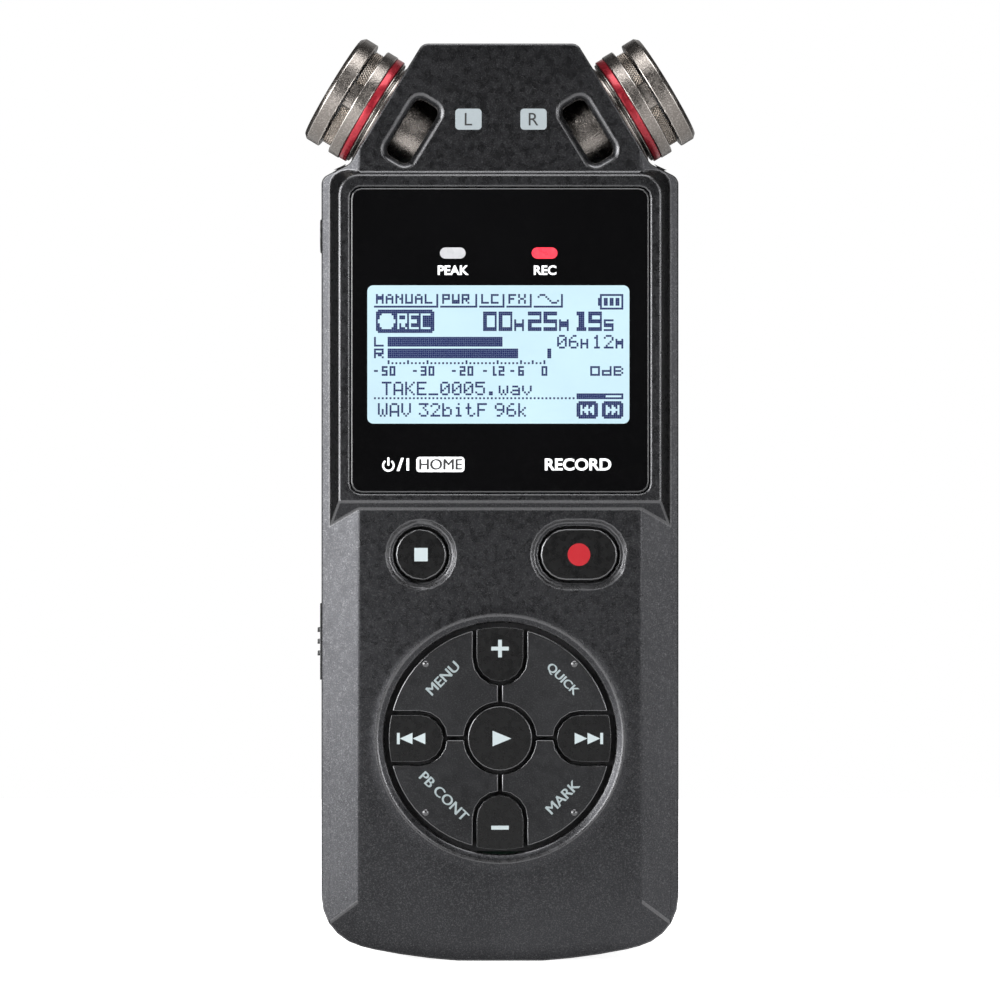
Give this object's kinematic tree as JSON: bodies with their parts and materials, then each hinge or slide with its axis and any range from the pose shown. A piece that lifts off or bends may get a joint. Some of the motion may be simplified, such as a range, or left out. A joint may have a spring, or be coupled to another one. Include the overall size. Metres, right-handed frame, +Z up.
{
  "type": "handheld stereo recorder",
  "caption": "Handheld stereo audio recorder with angled microphones, display, round keypad, sliding battery door and hinged card door.",
  "frame": {"origin": "under the middle of the foot, where the recorder stands", "axes": "+Z up the recorder's length, -Y out of its face, +X to the right of someone who looks at the face"},
  "size_m": [0.0602, 0.026, 0.1415],
  "materials": {
    "front_case": "fine sparkle texture",
    "rear_case": "fine texture",
    "battery_door": "fine texture",
    "window": "polished, printed from behind",
    "lcd": "lit display",
    "light_tray": "diffusing",
    "light_grey": "translucent",
    "light_red": "lit red",
    "board": "solder mask",
    "mat": "silicone",
    "jack": "moulded",
    "steel": "plated",
    "speaker": "frame and cone",
    "brass": "turned",
    "battery": "plain sleeve",
    "contact": "nickel plated",
    "slider": "moulded",
    "card_door": "moulded",
    "card": "moulded",
    "screw": "black plated",
    "keys": "smooth moulded",
    "mic_metal": "blasted, warm grey",
    "accent": "red anodised",
    "grille": "fine mesh",
    "capsule": "plain"
  },
  "bodies": {
    "root": {"battery_1": "battery", "battery_2": "battery", "card_socket": "steel", "case_screw_1": "screw", "case_screw_2": "screw", "case_screw_3": "screw", "case_screw_4": "screw", "contact_bridge": "contact", "contact_minus": "contact", "contact_plus": "contact", "display_window": "window", "front_case": "front_case", "hold_switch": "steel", "key_mat": "mat", "lcd_panel": "lcd", "light_tray": "light_tray", "loudspeaker": "speaker", "main_board": "board", "mic_accent_ring_left": "accent", "mic_accent_ring_right": "accent", "mic_barrel_left": "mic_metal", "mic_barrel_right": "mic_metal", "mic_cap_left": "mic_metal", "mic_cap_right": "mic_metal", "mic_capsule_left": "capsule", "mic_capsule_right": "capsule", "mic_collar_left": "mic_metal", "mic_collar_right": "mic_metal", "mic_grille_left": "grille", "mic_grille_right": "grille", "mic_jack": "jack", "peak_light_pipe": "light_grey", "phones_jack": "jack", "rear_case": "rear_case", "record_light_pipe": "light_red", "spring_1": "contact", "spring_2": "contact", "tripod_nut": "brass", "usb_port": "steel"},
    "plus_key": {"plus_key": "keys"},
    "battery_door": {"battery_door": "battery_door"},
    "card_door": {"card_door": "card_door"},
    "stop_home_key": {"stop_home_key": "keys"},
    "play_key": {"play_key": "keys"},
    "menu_key": {"menu_key": "keys"},
    "quick_key": {"quick_key": "keys"},
    "memory_card": {"memory_card": "card"},
    "playback_key": {"playback_key": "keys"},
    "mark_key": {"mark_key": "keys"},
    "record_key": {"record_key": "keys"},
    "hold_slider": {"hold_slider": "slider"},
    "forward_key": {"forward_key": "keys"},
    "rewind_key": {"rewind_key": "keys"},
    "minus_key": {"minus_key": "keys"}
  },
  "joints": [
    {"name": "play_press", "type": "slide", "parent": "root", "child": "play_key", "axis": [0, 1, 0], "range_m": [0, 0.0003], "stiffness_N_per_m": 800},
    {"name": "plus_press", "type": "slide", "parent": "root", "child": "plus_key", "axis": [0, 1, 0], "range_m": [0, 0.0003], "stiffness_N_per_m": 800},
    {"name": "minus_press", "type": "slide", "parent": "root", "child": "minus_key", "axis": [0, 1, 0], "range_m": [0, 0.0003], "stiffness_N_per_m": 800},
    {"name": "rewind_press", "type": "slide", "parent": "root", "child": "rewind_key", "axis": [0, 1, 0], "range_m": [0, 0.0003], "stiffness_N_per_m": 800},
    {"name": "forward_press", "type": "slide", "parent": "root", "child": "forward_key", "axis": [0, 1, 0], "range_m": [0, 0.0003], "stiffness_N_per_m": 800},
    {"name": "menu_press", "type": "slide", "parent": "root", "child": "menu_key", "axis": [0, 1, 0], "range_m": [0, 0.0003], "stiffness_N_per_m": 800},
    {"name": "quick_press", "type": "slide", "parent": "root", "child": "quick_key", "axis": [0, 1, 0], "range_m": [0, 0.0003], "stiffness_N_per_m": 800},
    {"name": "playback_press", "type": "slide", "parent": "root", "child": "playback_key", "axis": [0, 1, 0], "range_m": [0, 0.0003], "stiffness_N_per_m": 800},
    {"name": "mark_press", "type": "slide", "parent": "root", "child": "mark_key", "axis": [0, 1, 0], "range_m": [0, 0.0003], "stiffness_N_per_m": 800},
    {"name": "stop_home_press", "type": "slide", "parent": "root", "child": "stop_home_key", "axis": [0, 1, 0], "range_m": [0, 0.0003], "stiffness_N_per_m": 800},
    {"name": "record_press", "type": "slide", "parent": "root", "child": "record_key", "axis": [0, 1, 0], "range_m": [0, 0.0003], "stiffness_N_per_m": 800},
    {"name": "hold_slide", "type": "slide", "parent": "root", "child": "hold_slider", "axis": [0, 0, 1], "range_m": [0, 0.002]},
    {"name": "battery_door_slide", "type": "slide", "parent": "root", "child": "battery_door", "axis": [0, 0, -1], "range_m": [0, 0.0045]},
    {"name": "card_door_hinge", "type": "hinge", "parent": "root", "child": "card_door", "pos_m": [0.02725, -0.00475, 0.0797], "axis": [0, 1, 0], "range_deg": [0, 100]},
    {"name": "card_eject", "type": "slide", "parent": "root", "child": "memory_card", "axis": [1, 0, 0], "range_m": [0, 0.003]}
  ]
}
